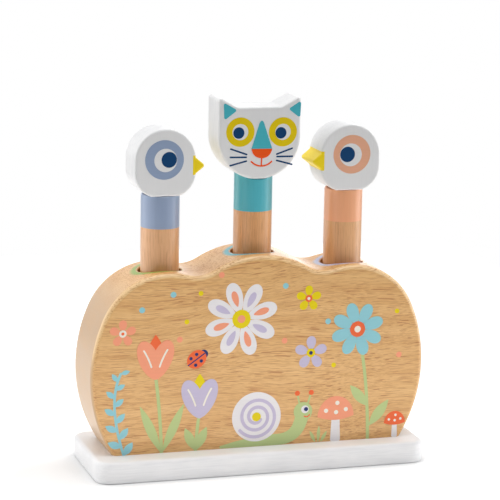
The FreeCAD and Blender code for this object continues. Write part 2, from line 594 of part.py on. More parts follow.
def base_screws():
    """Four countersunk wood screws that point up into the block, as one group."""
    piece = Piece("base_screw")
    piece.feature("AdditiveCone", "head", Radius1="Sizes.base_screw_head / 2", Height="base_screw_flare",
                  Radius2="Sizes.base_screw_diameter / 2")
    shank = piece.feature("AdditiveCylinder", "shank", Radius="Sizes.base_screw_diameter / 2",
                          Height="Sizes.base_screw_length - Places.base_screw_flare"
                                 " - Sizes.screw_tip_length")
    shank.setExpression("Placement.Base.z", "Places.base_screw_flare")
    tip = piece.feature("AdditiveCone", "tip", Radius1="Sizes.base_screw_diameter / 2",
                        Radius2="screw_tip_radius", Height="screw_tip_length")
    tip.setExpression("Placement.Base.z", "Sizes.base_screw_length - Sizes.screw_tip_length")
    cross_slots(piece, "0")
    group = doc.addObject("Part::Compound", "base_screws")
    group.Label = "base_screws"
    screws = []
    for x, y in BASE_SCREW_PLACES:
        screw = doc.addObject("App::Link", "screw_at_" + x.replace("-", "minus_"))
        screw.LinkedObject = piece.body
        screw.setExpression("Placement.Base.x", ref(x))
        screw.setExpression("Placement.Base.z", "Sizes.base_screw_recess")
        screws.append(screw)
    group.Links = screws
    doc.recompute()
    return group


def check():
    """Stop on any failed object, sketch that isn't fully held, or bad shape."""
    for item in doc.Objects:
        if "Invalid" in item.State or "Error" in item.State:
            raise RuntimeError("%s failed: %s" % (item.Name, item.State))
        if item.TypeId == "Sketcher::SketchObject" and not item.FullyConstrained:
            raise RuntimeError("%s isn't fully held" % item.Name)
    for node in nodes:
        if node.Shape.isNull() or not node.Shape.isValid():
            raise RuntimeError("%s has no valid shape" % node.Label)


fill_sheet()
pieces = [base_plate(), block()]
for side, x, length, blank_length, seat_height in COLUMNS:
    pieces += [spring_screw(side, x), spring_washer(side, x), spring(side, x),
               peg(side, length, blank_length, x), head_pin(side, seat_height, x)]
pieces += [bird_head("left", "", "-bore_spacing"), cat_head(), bird_head("right", "-", "bore_spacing")]
nodes = [piece.body for piece in pieces] + [base_screws()]
doc.recompute()
check()
os.makedirs("parts", exist_ok=True)
for node in nodes:
    node.Shape.exportStep("parts/%s.step" % node.Label)
    print("%-22s %9.1f mm3  %d solid(s)" % (node.Label, node.Shape.Volume, len(node.Shape.Solids)))
for name in ("bore_spacing", "block_half_width", "foot_half_width", "base_half_length", "base_half_depth"):
    print("%-22s %9.2f mm" % (name, size(name)))
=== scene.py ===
"""Looks of the pop up animal toy: woods, paints, the animals' faces, the printed garden and the springs.

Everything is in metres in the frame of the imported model: +Z up, +X along the block, and the faces
of the animals towards -Y. Sizes are written in millimetres and turned into metres by mm().
"""

import functools
import math

import bmesh
import bpy
from mathutils import Matrix, Vector
from mathutils.bvhtree import BVHTree


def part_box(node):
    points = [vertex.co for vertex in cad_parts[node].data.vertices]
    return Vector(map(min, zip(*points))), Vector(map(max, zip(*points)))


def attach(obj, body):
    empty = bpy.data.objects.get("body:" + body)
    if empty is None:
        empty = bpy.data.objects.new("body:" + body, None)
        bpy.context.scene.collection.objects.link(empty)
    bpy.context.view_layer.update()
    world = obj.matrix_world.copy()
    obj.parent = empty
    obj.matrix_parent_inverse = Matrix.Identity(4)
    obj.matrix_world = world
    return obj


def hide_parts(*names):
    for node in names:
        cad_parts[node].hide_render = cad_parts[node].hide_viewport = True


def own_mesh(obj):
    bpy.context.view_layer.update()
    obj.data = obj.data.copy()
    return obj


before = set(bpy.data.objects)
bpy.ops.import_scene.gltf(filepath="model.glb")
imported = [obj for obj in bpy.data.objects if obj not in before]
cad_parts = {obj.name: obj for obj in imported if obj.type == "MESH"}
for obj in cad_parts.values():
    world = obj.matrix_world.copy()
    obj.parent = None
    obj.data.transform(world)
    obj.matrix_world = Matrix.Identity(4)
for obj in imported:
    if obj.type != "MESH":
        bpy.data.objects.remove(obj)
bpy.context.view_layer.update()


def mm(*values):
    """Millimetres as metres: one number for one value, and a vector for three."""
    metres = [value * 0.001 for value in values]
    return metres[0] if len(metres) == 1 else Vector(metres)


# -------- the toy's own places and sizes


def middle_of(node):
    """The middle of a node's box in X."""
    low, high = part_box(node)
    return (low.x + high.x) / 2


PEG_X = {side: middle_of(side + "_peg") for side in ("left", "middle", "right")}
BLOCK_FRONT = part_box("block")[0].y
HEAD_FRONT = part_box("cat_head")[0].y
PLATE_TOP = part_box("block")[0].z
BIRD_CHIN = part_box("left_bird_head")[0].z
CAT_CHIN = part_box("cat_head")[0].z
SPRING_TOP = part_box("left_peg")[0].z

INK = mm(0.06)             # how far a first coat of print or paint stands proud
COAT = mm(0.04)            # each further coat over another
INK_ROOT = mm(0.15)        # how far a coat reaches into the wood

COLLAR_HEIGHT = mm(18.6)   # painted band of a dowel below its head

WIRE_RADIUS = mm(0.5)
COIL_RADIUS = mm(9.5)
EYE_RADIUS = mm(2.4)       # of the open eye under the washer
COIL_TURNS = 7.25
WIRE_LIFT = mm(0.05)       # the wire's clearance over the plate

RIM_INNER = mm(12.86)      # a painted ring's inner edge, on the rounding of its bore
RIM_WIDTH = mm(3.1)
RIM_SHIFT = mm(-1.75)      # how far the ring's outer edge lies off the bore's axis in X
RIM_FADE = mm(2.6)         # the ring's outer part, in which the paint thins out
RIM_COVER = 0.92           # share of the wood's colour that the full paint hides
RIM_THINNING = 0.85        # share of the paint's height that is lost at the outer edge
OVERHEAD = mm(0, 0, 200)   # a step up to a place over the whole block

BEAK_PAINT_X = mm(15.8)    # where a beak's paint starts, from its peg's axis
BEAK_PAINT_Z = BIRD_CHIN + mm(17.3)
BEAK_PAINT_HALF = mm(5.5)  # half the height of the painted beak

WOOD_RELIEF = mm(0.02)     # how deep the finishes' bump goes
INK_RELIEF = mm(0.02)
PAINT_RELIEF = mm(0.03)
STEEL_RELIEF = mm(0.01)


def new_object(name, data):
    """An object at the origin, in the scene."""
    thing = bpy.data.objects.new(name, data)
    bpy.context.scene.collection.objects.link(thing)
    return thing


# -------- colours


def shade(red, green, blue):
    """A colour given as display values from 0 to 255, as the linear colour that nodes take."""
    def linear(value):
        value /= 255
        return value / 12.92 if value <= 0.04045 else ((value + 0.055) / 1.055) ** 2.4
    return (linear(red), linear(green), linear(blue), 1.0)


WHITE = shade(240, 240, 240)
PLATE_WHITE = shade(243, 243, 244)
WORN_WHITE = shade(218, 219, 222)
PERIWINKLE = shade(152, 170, 200)
TEAL = shade(76, 188, 202)
PEACH = shade(255, 180, 131)
BEAK_YELLOW = shade(255, 227, 0)
BEAK_WORN = shade(246, 210, 0)
RIM_PAINTS = {"left": shade(130, 172, 52), "middle": shade(40, 178, 198), "right": shade(182, 197, 236)}
FLOOR_LIGHT, FLOOR_DARK = (0.9, 0.9, 0.9, 1.0), (0.88, 0.88, 0.88, 1.0)
ZINC, SPRING_WIRE = (0.62, 0.62, 0.63, 1.0), (0.58, 0.58, 0.60, 1.0)

BLOCK_LIGHT, BLOCK_DARK = shade(242, 196, 130), shade(224, 170, 102)
# painted highlight on the block's rounded edges that face up
BLOCK_EDGE_HIGHLIGHT = shade(255, 219, 163)
BLOCK_PORE, BLOCK_END = shade(180, 106, 50), shade(190, 155, 116)
DOWEL_WOODS = {"left": (shade(240, 187, 137), shade(230, 171, 117)),
               "middle": (shade(242, 182, 123), shade(232, 167, 105)),
               "right": (shade(243, 188, 134), shade(233, 172, 114))}
DOWEL_PORE, DOWEL_END = shade(184, 120, 70), shade(206, 170, 128)

INK_COLOURS = {            # the faces' colours, then the print's
    "chalk": WHITE, "face_mustard": shade(240, 210, 0), "indigo": shade(0, 64, 114),
    "periwinkle": PERIWINKLE, "pale_peach": shade(242, 181, 148), "teal": TEAL,
    "vermilion": shade(255, 92, 18),
    "brick": shade(250, 112, 62), "coral": shade(255, 166, 130), "cream": shade(252, 246, 232),
    "leaf": shade(196, 212, 146), "lilac": shade(208, 198, 224), "mustard": shade(242, 218, 0),
    "navy": shade(42, 56, 112), "print_chalk": shade(245, 241, 243), "sky": shade(152, 212, 222)}


def darker(colour, share):
    """A colour with only a share of its light left."""
    return tuple(share * part for part in colour[:3]) + (1.0,)


# -------- node helpers


def add(tree, kind, feeds=None, **settings):
    """Add a node, set its own settings, and feed its inputs with values or with other sockets."""
    node = tree.nodes.new(kind)
    for name, value in settings.items():
        setattr(node, name, value)
    for name, value in (feeds or {}).items():
        if isinstance(value, bpy.types.NodeSocket):
            tree.links.new(value, node.inputs[name])
        else:
            node.inputs[name].default_value = value
    return node


def calc(tree, operation, *values):
    """A Math node's result."""
    return add(tree, "ShaderNodeMath", dict(enumerate(values)), operation=operation).outputs[0]


def vector_calc(tree, operation, *values):
    """A Vector Math node's outputs."""
    return add(tree, "ShaderNodeVectorMath", dict(enumerate(values)), operation=operation).outputs


def plus(tree, first, second):
    """Two values added."""
    return calc(tree, "ADD", first, second)


def times(tree, first, second):
    """Two values multiplied."""
    return calc(tree, "MULTIPLY", first, second)


def blended(tree, share, first, second):
    """Two values mixed, with share of the second."""
    return add(tree, "ShaderNodeMix", {0: share, 2: first, 3: second}).outputs[0]


def mixed(tree, share, first, second):
    """Two colours mixed, with share of the second."""
    return add(tree, "ShaderNodeMix", {0: share, 6: first, 7: second}, data_type="RGBA").outputs[2]


def ramped(tree, value, low, high):
    """A value stretched so that low becomes 0 and high becomes 1, with soft ends."""
    feeds = {"Value": value, "From Min": low, "From Max": high}
    return add(tree, "ShaderNodeMapRange", feeds, interpolation_type="SMOOTHSTEP").outputs[0]


def new_group(name, kind, inputs, outputs):
    """An empty node group, with dicts of its inputs' and outputs' socket kinds."""
    tree = bpy.data.node_groups.new(name, kind)
    for in_out, sockets in (("INPUT", inputs), ("OUTPUT", outputs)):
        for label, socket in sockets.items():
            tree.interface.new_socket(name=label, in_out=in_out, socket_type="NodeSocket" + socket)
    return tree, tree.nodes.new("NodeGroupInput").outputs, tree.nodes.new("NodeGroupOutput").inputs


# -------- shared finishes


NOISE_SPAN = (0.3, 0.7)    # most of a noise's values lie between these


def noise(tree, vector, stretch, detail, output=0):
    """Noise on a vector stretched by a scale for each axis, in features per metre."""
    scaled = vector_calc(tree, "MULTIPLY", vector, stretch)[0]
    feeds = {"Vector": scaled, "Scale": 1.0, "Detail": detail}
    return add(tree, "ShaderNodeTexNoise", feeds).outputs[output]


FINISH = {"Colour": "Color", "Roughness": "Float", "Height": "Float"}


def make_wood_grain():
    """Hardwood with its fibres along the vector's X: bands of growth, long thin pores, fine fibres."""
    tree, given, result = new_group("Wood grain", "ShaderNodeTree", {
        "Vector": "Vector", "Light Wood": "Color", "Dark Wood": "Color", "Pore": "Color",
        "Pore Depth": "Float", "Waviness": "Float", "End Grain": "Float", "End Wood": "Color"}, FINISH)
    slow = noise(tree, given["Vector"], (6, 10, 14), 1.5, "Color")
    centred = vector_calc(tree, "SUBTRACT", slow, (0.5, 0.5, 0.5))[0]
    wave = add(tree, "ShaderNodeVectorMath", {0: centred, 3: given["Waviness"]}, operation="SCALE")
    bent = vector_calc(tree, "ADD", given["Vector"], wave.outputs[0])[0]
    bands = ramped(tree, noise(tree, bent, (3, 50, 150), 3.0), *NOISE_SPAN)
    fibres = ramped(tree, noise(tree, bent, (30, 1100, 1700), 3.0), *NOISE_SPAN)
    crowd = times(tree, bands, 0.06)
    long_pores = noise(tree, bent, (85, 1500, 2700), 0.0)
    fine_pores = noise(tree, bent, (180, 2600, 3800), 0.0)
    long_marks = ramped(tree, plus(tree, long_pores, crowd), 0.65, 0.71)
    fine_marks = ramped(tree, plus(tree, fine_pores, crowd), 0.60, 0.68)
    marks = calc(tree, "MAXIMUM", long_marks, times(tree, fine_marks, 0.5))
    lengthwise = calc(tree, "MULTIPLY_ADD", given["End Grain"], -0.95, 1.0)
    pores = times(tree, marks, lengthwise)
    body = plus(tree, times(tree, bands, 0.55), times(tree, fibres, 0.45))
    timber = mixed(tree, body, given["Light Wood"], given["Dark Wood"])
    depth = times(tree, pores, given["Pore Depth"])
    long_grain = mixed(tree, depth, timber, given["Pore"])
    speckle = noise(tree, bent, (20, 1500, 1500), 2.0)
    rings = calc(tree, "MULTIPLY_ADD", bands, -0.12, 1.12)
    cover = calc(tree, "MULTIPLY_ADD", speckle, -0.35, rings)
    covered = times(tree, given["End Grain"], cover)
    tree.links.new(mixed(tree, covered, long_grain, given["End Wood"]), result["Colour"])
    rough = plus(tree, times(tree, body, 0.10), times(tree, pores, 0.20))
    tree.links.new(plus(tree, rough, 0.36), result["Roughness"])
    relief = plus(tree, times(tree, fibres, 0.25), pores)
    tree.links.new(times(tree, relief, -1.0), result["Height"])
    return tree


def make_paint_film():
    """A thin coat of paint over wood: slight clouding, brush lines along the vector's X, fine stipple."""
    tree, given, result = new_group("Paint film", "ShaderNodeTree", {
        "Vector": "Vector", "Paint": "Color", "Shade": "Color", "Clouding": "Float"}, FINISH)
    clouds = ramped(tree, noise(tree, given["Vector"], (35, 60, 60), 3.0), *NOISE_SPAN)
    brush = ramped(tree, noise(tree, given["Vector"], (60, 700, 1100), 2.0), 0.35, 0.75)
    stipple = noise(tree, given["Vector"], (2600, 2600, 2600), 1.0)
    worn = plus(tree, times(tree, clouds, 0.5), times(tree, brush, 0.5))
    share = times(tree, worn, given["Clouding"])
    tree.links.new(mixed(tree, share, given["Paint"], given["Shade"]), result["Colour"])
    tree.links.new(plus(tree, times(tree, worn, 0.12), 0.38), result["Roughness"])
    relief = plus(tree, times(tree, stipple, 0.35), brush)
    tree.links.new(times(tree, relief, -1.0), result["Height"])
    return tree


WOOD_GRAIN = make_wood_grain()
PAINT_FILM = make_paint_film()


def use(tree, group, vector, **feeds):
    """Place a shared finish in a material."""
    named = {name.replace("_", " "): value for name, value in feeds.items()}
    return add(tree, "ShaderNodeGroup", {"Vector": vector, **named}, node_tree=group).outputs


def lying(tree, along="X", shift=(0, 0, 0)):
    """Object coordinates turned so that the fibres of this piece run along an axis."""
    turns = {"X": (0, 0, 0), "Z": (0, math.radians(90), 0)}
    here = add(tree, "ShaderNodeTexCoord").outputs["Object"]
    return add(tree, "ShaderNodeMapping", {"Vector": here, "Rotation": turns[along],
                                           "Location": shift}).outputs[0]


def new_material(name, **settings):
    """A material, its tree and its Principled shader, with some of the shader's inputs set."""
    material = bpy.data.materials.new(name)
    material.use_nodes = True
    shader = material.node_tree.nodes["Principled BSDF"]
    shader.inputs["Coat Roughness"].default_value = 0.3
    for label, value in settings.items():
        shader.inputs[label.replace("_", " ")].default_value = value
    return material, material.node_tree, shader


def finish_with(tree, shader, colour, roughness, height, depth):
    """Feed a shader with a finish's colour and roughness, and with its height as bump of a depth."""
    bump = add(tree, "ShaderNodeBump", {"Height": height, "Distance": depth, "Strength": 1.0})
    tree.links.new(colour, shader.inputs["Base Color"])
    tree.links.new(roughness, shader.inputs["Roughness"])
    tree.links.new(bump.outputs[0], shader.inputs["Normal"])


def axis_of(tree, axis, kind="Object"):
    """One part of the object coordinates, or of the surface's normal in them."""
    vector = add(tree, "ShaderNodeTexCoord").outputs[kind]
    return add(tree, "ShaderNodeSeparateXYZ", {0: vector}).outputs[axis]


def across(tree, axis):
    """How squarely a surface faces along an object axis: 1 on the sides that it runs out of."""
    return ramped(tree, calc(tree, "ABSOLUTE", axis_of(tree, axis, "Normal")), 0.45, 0.95)


def upper_edges(tree):
    """Where the long rounded edges face upwards; the block's wood gets a painted highlight there."""
    forwards = calc(tree, "ABSOLUTE", axis_of(tree, "Y", "Normal"))
    rounded = times(tree, ramped(tree, forwards, 0.1, 0.4), ramped(tree, forwards, 0.998, 0.96))
    return times(tree, rounded, ramped(tree, axis_of(tree, "Z", "Normal"), 0.02, 0.2))


def block_grain(tree):
    """Natural hardwood, its fibres along the block."""
    return use(tree, WOOD_GRAIN, lying(tree), Light_Wood=BLOCK_LIGHT, Dark_Wood=BLOCK_DARK,
               Pore=BLOCK_PORE, Pore_Depth=0.66, Waviness=0.03, End_Grain=across(tree, "X"),
               End_Wood=BLOCK_END)


def block_wood():
    """The block's wood with a clear satin coat, and a painted highlight: paler where its rounded edges
    face up to the light above.
    """
    material, tree, shader = new_material("block_wood", Coat_Weight=0.45)
    wood = block_grain(tree)
    outside_pores = calc(tree, "MULTIPLY_ADD", wood["Height"], 0.55, 0.75)
    # painted highlight: paler wood between the pores, where the rounded edges face up
    painted_highlight = times(tree, upper_edges(tree), outside_pores)
    colour = mixed(tree, painted_highlight, wood["Colour"], BLOCK_EDGE_HIGHLIGHT)
    finish_with(tree, shader, colour, wood["Roughness"], wood["Height"], WOOD_RELIEF)
    return material


def rim_paint(side):
    """The block's wood under thin paint round a bore, which fades out away from the bore."""
    material, tree, shader = new_material(side + "_rim_paint", Coat_Weight=0.45)
    wood = block_grain(tree)
    sideways = calc(tree, "SUBTRACT", axis_of(tree, "X"), PEG_X[side] + RIM_SHIFT)
    off_axis = add(tree, "ShaderNodeCombineXYZ", {"X": sideways, "Y": axis_of(tree, "Y")}).outputs[0]
    reach = vector_calc(tree, "LENGTH", off_axis)["Value"]
    edge = RIM_INNER + RIM_WIDTH
    share = times(tree, ramped(tree, reach, edge, edge - RIM_FADE), RIM_COVER)
    colour = mixed(tree, share, wood["Colour"], RIM_PAINTS[side])
    finish_with(tree, shader, colour, wood["Roughness"], wood["Height"], WOOD_RELIEF)
    return material


def dowel_wood(side, collar, foot):
    """A natural dowel with its fibres upright, and a painted collar above a height."""
    material, tree, shader = new_material(side + "_dowel_wood", Coat_Weight=1.0)
    upright = lying(tree, "Z", (PEG_X[side] * 3, 0, 0))    # each dowel is cut from another stick
    light_wood, dark_wood = DOWEL_WOODS[side]
    wood = use(tree, WOOD_GRAIN, upright, Light_Wood=light_wood, Dark_Wood=dark_wood,
               Pore=DOWEL_PORE, Pore_Depth=0.35, Waviness=0.006, End_Grain=across(tree, "Z"),
               End_Wood=DOWEL_END)
    paint = use(tree, PAINT_FILM, upright, Paint=collar, Shade=darker(collar, 0.82), Clouding=0.3)
    in_collar = calc(tree, "GREATER_THAN", axis_of(tree, "Z"), foot)
    colour = mixed(tree, in_collar, wood["Colour"], paint["Colour"])
    height = blended(tree, in_collar, wood["Height"], paint["Height"])
    finish_with(tree, shader, colour, wood["Roughness"], height, PAINT_RELIEF)
    return material


def white_film(tree, white, along, smooth_side):
    """White satin paint: smooth on one pair of sides, and with streaks of the wood on the others."""
    streaks = calc(tree, "MULTIPLY_ADD", across(tree, smooth_side), -0.5, 0.6)
    return use(tree, PAINT_FILM, lying(tree, along), Paint=white, Shade=WORN_WHITE, Clouding=streaks)


def white_paint(name, white, along, smooth_side):
    """A piece painted white all over."""
    material, tree, shader = new_material(name, Coat_Weight=0.05)
    film = white_film(tree, white, along, smooth_side)
    finish_with(tree, shader, film["Colour"], film["Roughness"], film["Height"], PAINT_RELIEF)
    return material


def bird_paint(side, towards):
    """White paint with a mustard beak, which starts at a line inside the cheek."""
    material, tree, shader = new_material(side + "_bird_paint", Coat_Weight=0.1)
    film = white_film(tree, WHITE, "Z", "Y")
    beak = use(tree, PAINT_FILM, lying(tree, "Z"), Paint=BEAK_YELLOW, Shade=BEAK_WORN, Clouding=0.4)
    outwards = times(tree, calc(tree, "SUBTRACT", axis_of(tree, "X"), PEG_X[side]), towards)
    past_cheek = calc(tree, "GREATER_THAN", outwards, BEAK_PAINT_X)
    off_centre = calc(tree, "ABSOLUTE", calc(tree, "SUBTRACT", axis_of(tree, "Z"), BEAK_PAINT_Z))
    near_tip = calc(tree, "LESS_THAN", off_centre, BEAK_PAINT_HALF)
    share = times(tree, past_cheek, near_tip)
    colour = mixed(tree, share, film["Colour"], beak["Colour"])
    finish_with(tree, shader, colour, film["Roughness"], film["Height"], PAINT_RELIEF)
    return material


@functools.cache
def ink(name):
    """A flat printed or painted colour, made once: almost even, with the wood's lines below it."""
    colour = INK_COLOURS[name]
    material, tree, shader = new_material(name + "_ink", Specular_IOR_Level=0.3)
    film = use(tree, PAINT_FILM, lying(tree), Paint=colour, Shade=darker(colour, 0.86), Clouding=0.35)
    finish_with(tree, shader, film["Colour"], film["Roughness"], film["Height"], INK_RELIEF)
    return material


def steel(name, colour, roughness):
    """Bright metal with fine lines round it."""
    material, tree, shader = new_material(name, Metallic=1.0)
    lines = noise(tree, lying(tree, "Z"), (300, 300, 2200), 2.0)
    tint = mixed(tree, ramped(tree, lines, *NOISE_SPAN), colour, darker(colour, 0.8))
    rough = plus(tree, times(tree, lines, 0.18), roughness)
    finish_with(tree, shader, tint, rough, lines, STEEL_RELIEF)
    return material


# -------- flat outlines, in millimetres


def ellipse(width, height, centre=(0, 0), steps=48):
    """An upright ellipse's outline."""
    return [(centre[0] + width / 2 * math.cos(2 * math.pi * step / steps),
             centre[1] + height / 2 * math.sin(2 * math.pi * step / steps)) for step in range(steps)]


def disc(radius, centre=(0, 0), steps=64):
    """A circle's outline."""
    return ellipse(2 * radius, 2 * radius, centre, steps)


def petal(length, width, root, fullness, steps=40):
    """A petal along +X, which starts at a root off the origin: pointed there, and round at its tip."""
    outline = []
    for step in range(steps):
        turn = 2 * math.pi * step / steps
        swell = math.sin(turn / 2) ** (1 / fullness - 1)
        outline.append((root + length * (1 - math.cos(turn)) / 2, width / 2 * math.sin(turn) * swell))
    return outline


def leaf(length, width, steps=24):
    """A leaf along +X from the origin: pointed at both ends."""
    rising = [step / steps for step in range(steps + 1)]
    upper = [(length * share, width / 2 * math.sin(math.pi * share) ** 0.9) for share in rising]
    return upper + [(x, -y) for x, y in reversed(upper[1:-1])]


def softened(corners, radius, steps=6):
    """A polygon whose corners, counterclockwise or clockwise, are rounded to a radius."""
    outline = []
    for index, corner in enumerate(corners):
        here = Vector(corner)
        before = (Vector(corners[index - 1]) - here).normalized()
        after = (Vector(corners[(index + 1) % len(corners)]) - here).normalized()
        half = before.angle(after) / 2
        reach = radius / math.tan(half)
        centre = here + (before + after).normalized() * (radius / math.sin(half))
        start, end = here + before * reach - centre, here + after * reach - centre
        sweep = start.angle_signed(end)
        outline += [tuple(centre + Matrix.Rotation(-sweep * step / steps, 2) @ start)
                    for step in range(steps + 1)]
    return outline


def stroke(points, widths, steps=8):
    """A line along points with round ends: one width all along, or a width for each point."""
    path = [Vector(point) for point in points]
    if not isinstance(widths, list):
        widths = [widths] * len(path)
    left, right = [], []
    for index, (here, width) in enumerate(zip(path, widths)):
        ahead = path[min(index + 1, len(path) - 1)] - path[max(index - 1, 0)]
        aside = Vector((-ahead.y, ahead.x)).normalized() * (width / 2)
        left.append(here + aside)
        right.append(here - aside)

    def cap(centre, edge):
        return [centre + Matrix.Rotation(-math.pi * step / steps, 2) @ (edge - centre)
                for step in range(1, steps)]
    outline = left + cap(path[-1], left[-1]) + right[::-1] + cap(path[0], right[0])
    return [tuple(point) for point in outline]


def bow(start, bend, end, steps=16):
    """Points along a curve from start to end that is pulled towards a bend."""
    a, b, c = Vector(start), Vector(bend), Vector(end)
    return [tuple(a * (1 - share) ** 2 + b * 2 * share * (1 - share) + c * share ** 2)
            for share in (step / steps for step in range(steps + 1))]


def moved(outline, x, y, turn=0.0):
    """An outline turned by degrees about its origin, then shifted."""
    spin = Matrix.Rotation(math.radians(turn), 2)
    return [tuple(spin @ Vector(point) + Vector((x, y))) for point in outline]


# -------- painted shapes


def coat_mesh(name, outlines, coats):
    """Closed flat shapes in a mesh: outlines in XY, from below the surface up over earlier coats."""
    mesh = bmesh.new()
    for outline in outlines:
        points = [Vector((x, y, 0)) for x, y in outline]
        area = sum(a.x * b.y - b.x * a.y for a, b in zip(points, points[1:] + points[:1]))
        if area < 0:
            points.reverse()
        top = mesh.faces.new([mesh.verts.new(point) for point in points])
        foot = [mesh.verts.new(point - Vector((0, 0, 1))) for point in points]
        mesh.faces.new(foot[::-1])
        rim = list(top.verts)
        for index in range(len(rim)):
            mesh.faces.new((rim[index - 1], foot[index - 1], foot[index], rim[index]))
    mesh.normal_update()
    bmesh.ops.triangulate(mesh, faces=[face for face in mesh.faces if len(face.verts) > 4])
    height = INK + coats * COAT
    to_metres = Matrix.Diagonal((mm(1), mm(1), height + INK_ROOT, 1))
    bmesh.ops.transform(mesh, matrix=Matrix.Translation((0, 0, height)) @ to_metres, verts=mesh.verts)
    data = bpy.data.meshes.new(name)
    mesh.to_mesh(data)
    mesh.free()
    return data


def new_piece(name, data, material, body):
    """A finished piece: its object at the origin, riding on a body."""
    piece = new_object(name, data)
    data.materials.clear()
    data.materials.append(material)
    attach(piece, body)
    return piece


def facing_front(x, y, z):
    """Lays a flat shape's XY on a front face: its X stays, its Y goes up, and its top looks to -Y."""
    return Matrix.Translation((x, y, z)) @ Matrix.Rotation(math.radians(90), 4, "X")


def painted(name, outlines, material, body, place, coats=0):
    """A painted shape on a face, over this many earlier coats."""
    data = coat_mesh(name, outlines, coats)
    data.transform(place)
    new_piece(name, data, material, body)


# -------- Geometry Nodes trees


def new_shaper(name, inputs):
    """An empty tree that takes a mesh, its own inputs and a material, and gives a mesh back."""
    shape = {"Geometry": "Geometry"}
    return new_group(name, "GeometryNodeTree", {**shape, **inputs, "Material": "Material"}, shape)


def turned(tree, angle):
    """A rotation about Z."""
    euler = add(tree, "ShaderNodeCombineXYZ", {"Z": angle}).outputs[0]
    return add(tree, "FunctionNodeEulerToRotation", {0: euler}).outputs[0]


def closing(tree, given, result, geometry):
    """End a tree: every instance made real, and its material set."""
    real = add(tree, "GeometryNodeRealizeInstances", {0: geometry}).outputs[0]
    coloured = add(tree, "GeometryNodeSetMaterial", {"Geometry": real, "Material": given["Material"]})
    tree.links.new(coloured.outputs[0], result["Geometry"])
    return tree


def make_ring_of_petals():
    """Repeats the piece's own mesh, which points along +X, around the origin."""
    tree, given, result = new_shaper("Ring of petals", {"Petals": "Int", "First Turn": "Float"})
    points = add(tree, "GeometryNodePoints", {"Count": given["Petals"], "Radius": 1.0})
    step = calc(tree, "DIVIDE", 2 * math.pi, given["Petals"])
    index = add(tree, "GeometryNodeInputIndex").outputs[0]
    turn = calc(tree, "MULTIPLY_ADD", index, step, given["First Turn"])
    ring = add(tree, "GeometryNodeInstanceOnPoints", {
        "Points": points.outputs[0], "Instance": given["Geometry"], "Rotation": turned(tree, turn)})
    return closing(tree, given, result, ring.outputs[0])


def make_leaves_on_stem():
    """Sets the piece's own mesh, which points along +X, at even steps along a bowed stem."""
    tree, given, result = new_shaper("Leaves on a stem", {
        "Start": "Vector", "Bend": "Vector", "End": "Vector", "Leaves": "Int", "Lean": "Float",
        "Tip Share": "Float"})
    stem = add(tree, "GeometryNodeCurveQuadraticBezier", {
        "Resolution": 24, "Start": given["Start"], "Middle": given["Bend"], "End": given["End"]})
    points = add(tree, "GeometryNodeCurveToPoints", {"Curve": stem.outputs[0], "Count": given["Leaves"]})
    ahead = add(tree, "ShaderNodeSeparateXYZ", {0: points.outputs["Tangent"]}).outputs
    heading = calc(tree, "ARCTAN2", ahead["Y"], ahead["X"])
    index = add(tree, "GeometryNodeInputIndex").outputs[0]
    side = calc(tree, "MULTIPLY_ADD", calc(tree, "MODULO", index, 2), 2, -1)
    turn = calc(tree, "MULTIPLY_ADD", side, given["Lean"], heading)
    last = calc(tree, "SUBTRACT", given["Leaves"], 1)
    travelled = calc(tree, "DIVIDE", index, last)
    loss = calc(tree, "SUBTRACT", 1, given["Tip Share"])
    scale = calc(tree, "SUBTRACT", 1, times(tree, travelled, loss))
    leaves = add(tree, "GeometryNodeInstanceOnPoints", {
        "Points": points.outputs["Points"], "Instance": given["Geometry"], "Rotation": turned(tree, turn),
        "Scale": add(tree, "ShaderNodeCombineXYZ", {"X": scale, "Y": scale, "Z": 1.0}).outputs[0]})
    return closing(tree, given, result, leaves.outputs[0])


def make_dots():
    """Sets a small round coat on each point of the piece's own mesh."""
    tree, given, result = new_shaper("Dots", {"Radius": "Float", "Height": "Float"})
    depth = times(tree, given["Height"], 2)
    dot = add(tree, "GeometryNodeMeshCylinder", {"Vertices": 40, "Radius": given["Radius"],
                                                 "Depth": depth}).outputs["Mesh"]
    dots = add(tree, "GeometryNodeInstanceOnPoints", {"Points": given["Geometry"], "Instance": dot})
    return closing(tree, given, result, dots.outputs[0])


def make_bent_wire():
    """Turns the piece's own edges into round wire."""
    tree, given, result = new_shaper("Bent wire", {"Wire Radius": "Float", "Sides": "Int"})
    path = add(tree, "GeometryNodeMeshToCurve", {0: given["Geometry"]}).outputs[0]
    section = add(tree, "GeometryNodeCurvePrimitiveCircle", {
        "Resolution": given["Sides"], "Radius": given["Wire Radius"]}).outputs[0]
    wire = add(tree, "GeometryNodeCurveToMesh", {"Curve": path, "Profile Curve": section,
                                                 "Fill Caps": True}).outputs[0]
    smooth = add(tree, "GeometryNodeSetShadeSmooth", {0: wire}).outputs[0]
    return closing(tree, given, result, smooth)


RING_OF_PETALS = make_ring_of_petals()
LEAVES_ON_STEM = make_leaves_on_stem()
DOTS = make_dots()
BENT_WIRE = make_bent_wire()


def grown(name, data, tree, material, **inputs):
    """Run a tree on a mesh and give back the plain mesh that it makes."""
    seed = new_object(name, data)
    modifier = seed.modifiers.new(name, "NODES")
    modifier.node_group = tree
    values = {label.replace("_", " "): value for label, value in inputs.items()}
    values["Material"] = material
    for item in tree.interface.items_tree:
        if item.in_out == "INPUT" and item.name in values:
            modifier[item.identifier] = values[item.name]
    graph = bpy.context.evaluated_depsgraph_get()
    mesh = bpy.data.meshes.new_from_object(seed.evaluated_get(graph), depsgraph=graph)
    mesh.name = name
    bpy.data.objects.remove(seed)
    return mesh


# -------- springs


def arc(x, radius, start, sweep, steps, rise=0.0):
    """Points along an arc, in degrees, about a place on the X axis; it may rise on its way."""
    points = []
    for step in range(steps + 1):
        turn = math.radians(start + sweep * step / steps)
        points.append(Vector((x + radius * math.cos(turn), radius * math.sin(turn), rise * step / steps)))
    return points


